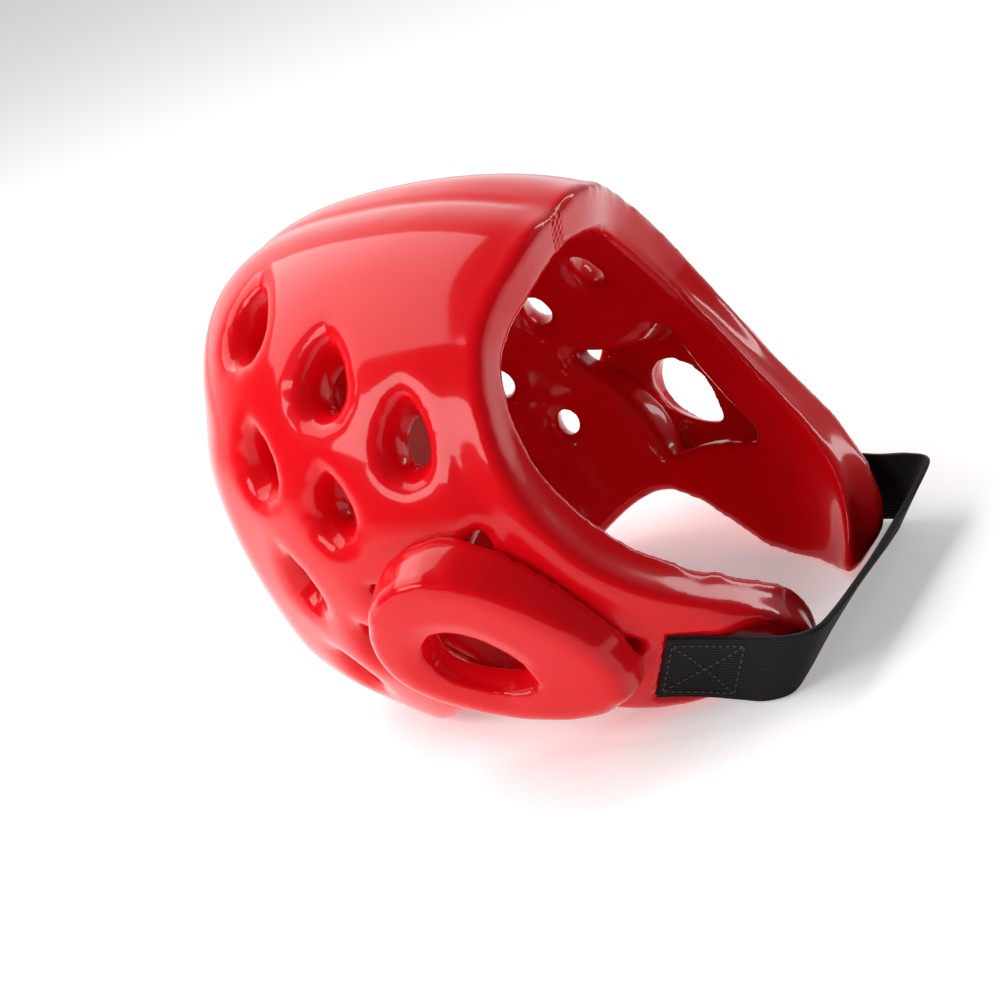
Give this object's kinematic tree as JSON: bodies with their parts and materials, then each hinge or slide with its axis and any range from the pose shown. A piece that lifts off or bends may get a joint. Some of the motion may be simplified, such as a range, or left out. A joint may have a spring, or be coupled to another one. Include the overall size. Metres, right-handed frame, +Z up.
{
  "type": "taekwondo headgear",
  "caption": "Dipped foam head guard with an open face, teardrop vents, raised ear pads and an elastic chin strap.",
  "frame": {"origin": "on the table under the middle of the headgear's box, where its lower edge stands", "axes": "+Z up from the table, -Y towards the wearer's front, +X towards the wearer's left"},
  "size_m": [0.235, 0.2449, 0.185],
  "materials": {
    "dipped_foam": "thick glossy red vinyl skin over soft foam",
    "elastic_webbing": "black ribbed elastic webbing"
  },
  "bodies": {
    "root": {"shell": "dipped_foam", "ear_pad_left": "dipped_foam", "ear_pad_right": "dipped_foam", "chin_strap": "elastic_webbing"}
  },
  "joints": []
}
